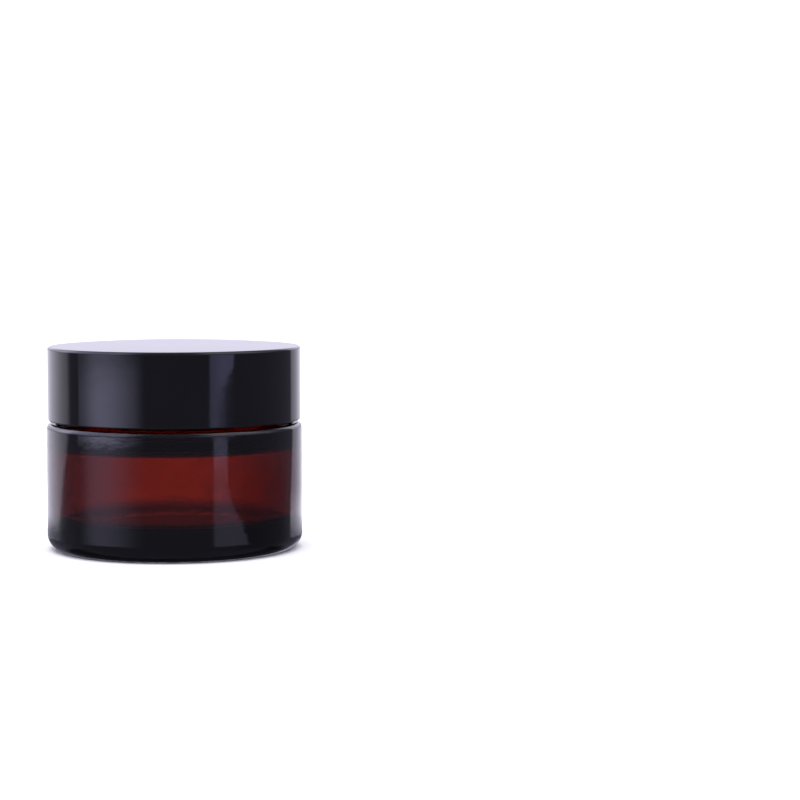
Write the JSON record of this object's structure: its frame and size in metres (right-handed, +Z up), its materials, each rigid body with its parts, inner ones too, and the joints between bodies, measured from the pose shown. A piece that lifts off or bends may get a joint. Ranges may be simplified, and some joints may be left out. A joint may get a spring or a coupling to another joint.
{
  "type": "cosmetic cream jar",
  "caption": "Squat round cosmetic jar of heavy amber glass with a gloss black double-walled screw lid, foam wad and snap-in sealing disc.",
  "frame": {"origin": "centre of the circle on which the jar stands", "axes": "+Z up along the jar's axis, from the base to the lid"},
  "size_m": [0.051, 0.051, 0.0415],
  "materials": {
    "amber_glass": "polished",
    "white_plastic": "satin",
    "white_foam": "matt",
    "black_plastic": "satin",
    "gloss_black_plastic": "gloss"
  },
  "bodies": {
    "jar": {"glass_jar": "amber_glass"},
    "disc": {"sealing_disc": "white_plastic"},
    "wad": {"lid_gasket": "white_foam"},
    "lid": {"lid_shell": "gloss_black_plastic", "lid_insert": "black_plastic"}
  },
  "joints": [
    {"name": "lid_lift", "type": "slide", "parent": "jar", "child": "wad", "axis": [0, 0, 1], "range_m": [0, 0.021]},
    {"name": "lid_turn", "type": "hinge", "parent": "wad", "child": "lid", "pos_m": [0, 0, 0.03], "axis": [0, 0, 1], "range_deg": [0, 1800]},
    {"name": "disc_lift", "type": "slide", "parent": "jar", "child": "disc", "axis": [0, 0, 1], "range_m": [0, 0.00735]}
  ],
  "couplings": [
    {"joint": "lid_lift", "follows": "lid_turn", "m_per_rad": 0.00066845},
    {"joint": "disc_lift", "follows": "lid_turn", "m_per_rad": 0.00023396}
  ]
}
